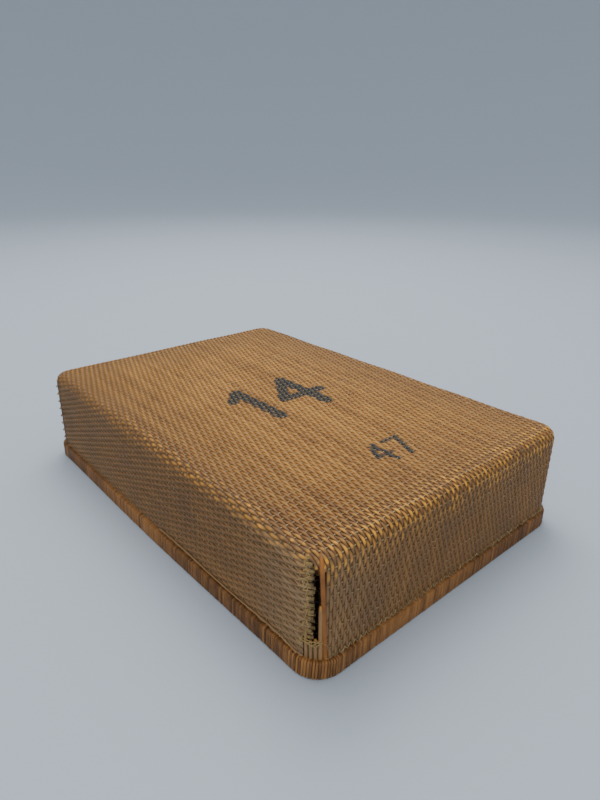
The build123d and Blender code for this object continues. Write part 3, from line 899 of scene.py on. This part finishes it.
def looseRod():
    # A thin rod that has come away from the front, just above the rim. It sways as a sine, and its
    # free end leaves the wall as a parabola over the last fifth.
    share = np.linspace(0, 1, 48)[None]
    x = looseLook["start"] + (lid["middleX"] + looseLook["stop"] - looseLook["start"]) * share
    z = looseLook["height"] + looseLook["sway"] * np.sin(share * 9)
    free = np.clip((share - 0.8) / 0.2, 0, 1) ** 2
    y = -lid["width"] / 2 - looseLook["out"] - looseLook["lift"] * free
    place = bowOut(lid, np.stack([x, y, z], -1), np.ones(x.shape), lid["height"] - z)
    run = unit(np.gradient(place, axis=1))
    up = np.broadcast_to(np.array([0.0, 0.0, 1.0]), run.shape)
    side = unit(np.cross(run, up))
    half = np.full(x.shape, looseLook["radius"])
    values = {"tint": 0.55 + 0 * x, "rise": 0.9 + 0 * x, "polishAndHighlight": 0 * x, "dirtAndShade": 0.7 + 0 * x,
              "dust": 0.5 + 0 * x, "ink": 0 * x, "grain": np.stack([x, 0 * x + 0.02, 0 * x], -1)}
    piece = tubes("lid_loose_rod", place, side, np.cross(side, run), half, half, willow, values, 6)
    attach(piece, "lid")


hemLook = {
    "height": 17.2 * mm,
    "rise": (0.9, 2.0),             # millimetres up over half a stitch, least and most
    "stray": 0.55 * mm,
    "out": 0.35 * mm,               # of a stitch's middle from the wall
    "tuck": 0.9 * mm,               # of its ends back into the wall
    "radius": 0.34 * mm,
    "fluffPerStitch": 3,
}


def hemStitches(which):
    # A pale stitch slants over each rod just above the rim, with fluff round it. It bulges a little
    # sideways as a parabola, and its ends tuck in as the fourth power of the share from its middle.
    sign = -1 if which == "left" else 1
    whole = (lid["middleY"] + lid["corner"] * math.radians(tear["angle"])) / weave["rodPitch"]
    low = -lid["longRods"] if which == "left" else -int(whole)
    index = np.arange(low, lid["longRods"])
    n = len(index)
    share = np.linspace(-1, 1, 7)[None]
    lean = np.where(index % 2 == 0, 1, -1)[:, None] * chance.uniform(0.1, 0.75, (n, 1))
    across = (index[:, None] + 0.5 + lean * share + 0.25 * share**2) * weave["rodPitch"]
    rise = chance.uniform(*hemLook["rise"], (n, 1)) * mm
    z = hemLook["height"] + rise * share + chance.normal(0, hemLook["stray"], (n, 1))
    along = lid["foot"] + 0.8 * mm - z
    place, normal, _, _ = shell(lid, across, sign * along, True)
    place = place + normal * (hemLook["out"] - hemLook["tuck"] * share**4)[..., None]
    run = unit(np.gradient(place, axis=1))
    side = unit(np.cross(normal, run))
    half = hemLook["radius"] * chance.uniform(0.6, 1.3, (n, 1)) * np.ones(share.shape)
    tint = np.clip(chance.normal(0.38, 0.34, (n, 1)), 0, 1) * np.ones(share.shape)
    values = {"tint": tint, "grain": np.stack([across, z, 0 * z], -1)}
    piece = tubes(f"lid_hem_stitches_{which}", place, side, normal, half, half * 0.8, hemp, values, 5)
    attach(piece, "lid")
    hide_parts(f"lid_hem_thread_{which}")
    fluff = hemLook["fluffPerStitch"] * n
    pick = chance.integers(0, n, fluff)
    root = place[pick, chance.integers(1, 6, fluff)]
    heading = normal[pick, 3] * 0.5 + chance.normal(0, 0.8, (fluff, 3)) + np.array([0, 0, 0.5])
    length, radius = chance.uniform(1.0, 3.5, fluff) * mm, chance.uniform(0.06, 0.15, fluff) * mm
    curl, tint = chance.uniform(0.1, 0.6, fluff), chance.uniform(0.6, 1, fluff)
    fibres(f"lid_hem_fluff_{which}", root, heading, length, radius, hemp, curl, tint, 5)


stubs()
edgeRod()
cutEnds()
frayedBand()
looseRod()
hemStitches("left")
hemStitches("right")
print("torn corner and hems done")


studio = {"pale": (0.50, 0.58, 0.665), "floorRadius": 3.0, "bend": 2.5, "wallHeight": 3.2}


def stageMaterial(name):
    # One plain pale colour for the floor and the wall round it
    material, _, shader = newMaterial(name)
    shader.inputs["Base Color"].default_value = (*studio["pale"], 1)
    shader.inputs["Roughness"].default_value = 0.8
    shader.inputs["Specular IOR Level"].default_value = 0.2
    return material


def backdrop():
    # A round dish: a flat floor, a quarter circle at its edge, and an upright wall
    r, bend = studio["floorRadius"], studio["bend"]
    turn = np.linspace(0, math.pi / 2, 16)
    radius = np.concatenate([[0.002, 0.5, 1.5], r + bend * np.sin(turn), [r + bend]])
    high = np.concatenate([[0.0, 0.0, 0.0], bend - bend * np.cos(turn), [studio["wallHeight"]]])
    around = np.linspace(0, 2 * math.pi, 97)[:-1]
    x, y = radius * np.cos(around)[:, None], radius * np.sin(around)[:, None]
    verts = np.stack([x, y, np.broadcast_to(high, x.shape)], -1)
    index = np.arange(x.size).reshape(x.shape)
    there = np.roll(index, -1, 0)
    quads = np.stack([index[:, :-1], index[:, 1:], there[:, 1:], there[:, :-1]], -1).reshape(-1, 4)
    middle = index[:, 0][None]
    return meshFromArrays("floor", verts.reshape(-1, 3), quads, {}, stageMaterial("paleFloor"), middle)


backdrop()

lights = {
    "key": {"place": (-0.5, 0.3, 2.4), "size": 1.6, "power": 30.0, "colour": (1.0, 0.97, 0.93)},
    "fill": {"place": (1.9, -2.0, 1.5), "size": 2.4, "power": 30.0, "colour": (1.0, 0.97, 0.94)},
    "back": {"place": (-1.3, 1.0, 2.0), "size": 1.4, "power": 16.0, "colour": (1.0, 0.98, 0.95)},
}
for name, light in lights.items():
    data = bpy.data.lights.new(name, "AREA")
    data.size = light["size"]
    data.energy = light["power"]
    data.color = light["colour"]
    lamp = bpy.data.objects.new(name, data)
    bpy.context.scene.collection.objects.link(lamp)
    lamp.location = light["place"]
    x, y, z = light["place"]
    lean = math.atan2(math.hypot(x, y), z)                 # every lamp looks at the middle of the floor
    lamp.rotation_euler = (lean, 0, math.atan2(y, x) + math.pi / 2)

sky = {"colour": (0.97, 0.98, 1.0), "strength": 0.60}
world = bpy.data.worlds.new("softSky")
world.use_nodes = True
background = world.node_tree.nodes["Background"]
background.inputs[0].default_value = (*sky["colour"], 1)
background.inputs[1].default_value = sky["strength"]
bpy.context.scene.world = world
print("floor and light done")

view = {"place": (0.4389, -0.3541, 0.3322), "turn": 49.16, "down": 22.78, "roll": -0.36, "lens": 26.8}
camera = bpy.data.objects.new("camera", bpy.data.cameras.new("camera"))
bpy.context.scene.collection.objects.link(camera)
camera.location = view["place"]
camera.rotation_mode = "XYZ"
angles = (90 - view["down"], view["roll"], view["turn"])
camera.rotation_euler = [math.radians(angle) for angle in angles]
camera.data.lens = view["lens"]
camera.data.sensor_fit = "VERTICAL"
camera.data.sensor_height = 36.0
camera.data.clip_start = 0.01
bpy.context.scene.camera = camera
